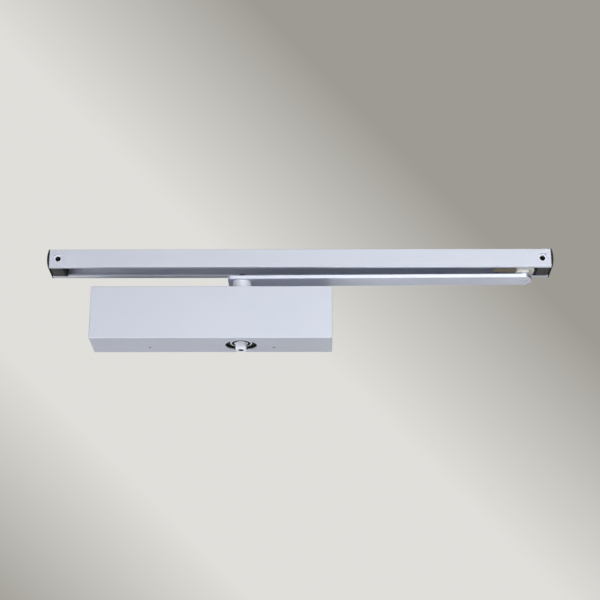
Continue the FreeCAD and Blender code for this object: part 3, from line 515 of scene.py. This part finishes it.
def makeFloor():
    bm = bmesh.new()
    bmesh.ops.create_grid(bm, x_segments=1, y_segments=1, size=floor["size"] / 2)
    bmesh.ops.translate(bm, verts=bm.verts, vec=(0, 0, floor["height"]))
    mesh = bpy.data.meshes.new("floor")
    bm.to_mesh(mesh)
    bm.free()
    ground = bpy.data.objects.new("floor", mesh)
    scene.collection.objects.link(ground)
    material = bpy.data.materials.new("paleFloor")
    material.use_nodes = True
    tree = material.node_tree
    shader = tree.nodes["Principled BSDF"]
    shader.inputs["Base Color"].default_value = (*floor["colour"], 1)
    shader.inputs["Roughness"].default_value = floor["roughness"]
    shader.inputs["Emission Color"].default_value = (*floor["colour"], 1)
    path = addNode(tree, "ShaderNodeLightPath").outputs
    mirrored = compute(tree, "MULTIPLY", path["Is Glossy Ray"], floor["mirrored"])
    seen = compute(tree, "MAXIMUM", path["Is Camera Ray"], mirrored)
    tree.links.new(compute(tree, "MULTIPLY", seen, floor["glow"]), shader.inputs["Emission Strength"])
    mesh.materials.append(material)


def makeAir():
    world = bpy.data.worlds.new("studioAir")
    world.use_nodes = True
    tree = world.node_tree
    tree.nodes.clear()
    heading = addNode(tree, "ShaderNodeTexCoord").outputs["Generated"]
    across = addNode(tree, "ShaderNodeVectorMath", {0: heading, 1: air["across"]}, operation="DOT_PRODUCT")
    shades = []
    for side in ("upperRight", "lowerLeft"):
        start, end = air[side]
        shade = addNode(tree, "ShaderNodeMapRange", {
            "Value": across.outputs["Value"], "From Min": start, "From Max": end})
        shades.append(shade.outputs["Result"])
    facing = addNode(tree, "ShaderNodeVectorMath", {0: heading, 1: air["middle"]}, operation="DOT_PRODUCT")
    near, far = air["corners"]
    ahead = addNode(tree, "ShaderNodeMapRange", {
        "Value": facing.outputs["Value"], "From Min": near, "From Max": far}, interpolation_type="SMOOTHSTEP")
    corners = compute(tree, "MULTIPLY", compute(tree, "MAXIMUM", *shades), ahead.outputs["Result"])
    tint = mixColours(tree, corners, air["light"], air["dark"])
    path = addNode(tree, "ShaderNodeLightPath").outputs
    split = addNode(tree, "ShaderNodeSeparateXYZ", {"Vector": heading})
    front, back = air["room"]
    turnStart, turnEnd = air["roomTurn"]
    room = addNode(tree, "ShaderNodeMapRange", {
        "Value": split.outputs["Y"], "From Min": turnStart, "From Max": turnEnd,
        "To Min": front, "To Max": back})
    strength = addNode(tree, "ShaderNodeMix", {
        "Factor": path["Is Glossy Ray"], "A": 1.0, "B": room.outputs["Result"]}, data_type="FLOAT")
    seen = addNode(tree, "ShaderNodeBackground", {"Color": tint, "Strength": strength.outputs[0]})
    lighting = addNode(tree, "ShaderNodeBackground", {"Color": (1, 1, 1, 1), "Strength": air["ambient"]})
    choose = addNode(tree, "ShaderNodeMixShader", {
        0: compute(tree, "MAXIMUM", path["Is Camera Ray"], path["Is Glossy Ray"]),
        1: lighting.outputs[0], 2: seen.outputs[0]})
    addNode(tree, "ShaderNodeOutputWorld", {"Surface": choose.outputs[0]})
    scene.world = world


def makeLamps():
    for name, lamp in lamps.items():
        light = bpy.data.lights.new(name, "AREA")
        light.shape = "RECTANGLE"
        light.size, light.size_y = lamp["size"]
        light.energy = lamp["power"]
        holder = bpy.data.objects.new(name, light)
        holder.location = lamp["place"]
        aim = Vector(lampAim) - Vector(lamp["place"])
        holder.rotation_euler = aim.to_track_quat("-Z", "Y").to_euler()
        scene.collection.objects.link(holder)


makeFloor()
makeAir()
makeLamps()

view = {
    "place": (0.102807, -1.442127, -0.505116), "lens": 93.458, "sensor": 36.0,
    "pitch": 0.35395, "yaw": -0.01262, "roll": -0.00298}


def makeCamera():
    lensData = bpy.data.cameras.new("camera")
    lensData.lens = view["lens"]
    lensData.sensor_width = view["sensor"]
    camera = bpy.data.objects.new("camera", lensData)
    heading = Euler((math.pi / 2 + view["pitch"], 0, -view["yaw"])).to_matrix()
    turned = heading @ Matrix.Rotation(-view["roll"], 3, "Z")
    camera.matrix_world = Matrix.Translation(view["place"]) @ turned.to_4x4()
    scene.collection.objects.link(camera)
    scene.camera = camera


makeCamera()
print("studio and camera ready")
